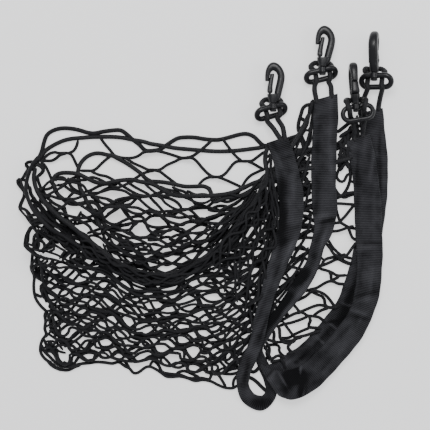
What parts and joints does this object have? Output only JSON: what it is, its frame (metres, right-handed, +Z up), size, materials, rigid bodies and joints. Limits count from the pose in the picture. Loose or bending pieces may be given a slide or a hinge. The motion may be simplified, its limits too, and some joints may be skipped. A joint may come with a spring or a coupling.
{
  "type": "cargo net",
  "caption": "Elastic mesh pocket net lying folded, with webbing-bound ends and cord loops carrying sprung swivel hooks at its corners.",
  "frame": {"origin": "middle of the footprint, on the plane the net lies on", "axes": "+X towards the webbing-bound ends, +Y from the pocket's bottom to its hooks, +Z up from the plane the net lies on"},
  "size_m": [0.3738, 0.3851, 0.0286],
  "materials": {
    "mesh_elastic": "matt knotless elastic mesh",
    "cord_elastic": "matt braided elastic cord",
    "webbing": "matt ribbed polyester webbing",
    "hook_plastic": "semi-gloss moulded nylon"
  },
  "bodies": {
    "net_body": {"net": "mesh_elastic", "rim_outer": "cord_elastic", "rim_inner": "cord_elastic", "webbing_a": "webbing", "webbing_b": "webbing", "eye_1": "hook_plastic", "eye_2": "hook_plastic", "eye_3": "hook_plastic", "eye_4": "hook_plastic", "loop_1": "cord_elastic", "loop_2": "cord_elastic", "loop_3": "cord_elastic", "loop_4": "cord_elastic"},
    "hook_body_1": {"hook_1": "hook_plastic"},
    "gate_body_1": {"gate_1": "hook_plastic"},
    "hook_body_2": {"hook_2": "hook_plastic"},
    "gate_body_2": {"gate_2": "hook_plastic"},
    "hook_body_3": {"hook_3": "hook_plastic"},
    "gate_body_3": {"gate_3": "hook_plastic"},
    "hook_body_4": {"hook_4": "hook_plastic"},
    "gate_body_4": {"gate_4": "hook_plastic"}
  },
  "joints": [
    {"name": "swivel_1", "type": "hinge", "parent": "net_body", "child": "hook_body_1", "pos_m": [0.06766, 0.11239, 0.0123], "axis": [-0.0175, 0.9998, 0], "continuous": true},
    {"name": "gate_1_pivot", "type": "hinge", "parent": "hook_body_1", "child": "gate_body_1", "pos_m": [0.06439, 0.12769, 0.0123], "axis": [0, 0, -1], "range_deg": [0, 11], "stiffness_Nm_per_rad": 0.02, "springref_deg": -28.65},
    {"name": "swivel_2", "type": "hinge", "parent": "net_body", "child": "hook_body_2", "pos_m": [0.11696, 0.14889, 0.0123], "axis": [0.0175, 0.9998, 0], "continuous": true},
    {"name": "gate_2_pivot", "type": "hinge", "parent": "hook_body_2", "child": "gate_body_2", "pos_m": [0.11423, 0.16429, 0.0123], "axis": [0, 0, -1], "range_deg": [0, 11], "stiffness_Nm_per_rad": 0.02, "springref_deg": -28.65},
    {"name": "swivel_3", "type": "hinge", "parent": "net_body", "child": "hook_body_3", "pos_m": [0.14926, 0.11139, 0.0208], "axis": [-0.0645, 0.9979, 0], "continuous": true},
    {"name": "gate_3_pivot", "type": "hinge", "parent": "hook_body_3", "child": "gate_body_3", "pos_m": [0.14827, 0.12671, 0.0238], "axis": [-0.9979, -0.0645, 0], "range_deg": [0, 11], "stiffness_Nm_per_rad": 0.02, "springref_deg": -28.65},
    {"name": "swivel_4", "type": "hinge", "parent": "net_body", "child": "hook_body_4", "pos_m": [0.16816, 0.14289, 0.0146], "axis": [0.0175, 0.9998, 0], "continuous": true},
    {"name": "gate_4_pivot", "type": "hinge", "parent": "hook_body_4", "child": "gate_body_4", "pos_m": [0.1694, 0.15822, 0.01176], "axis": [0.9454, -0.0165, 0.3256], "range_deg": [0, 11], "stiffness_Nm_per_rad": 0.02, "springref_deg": -28.65}
  ]
}
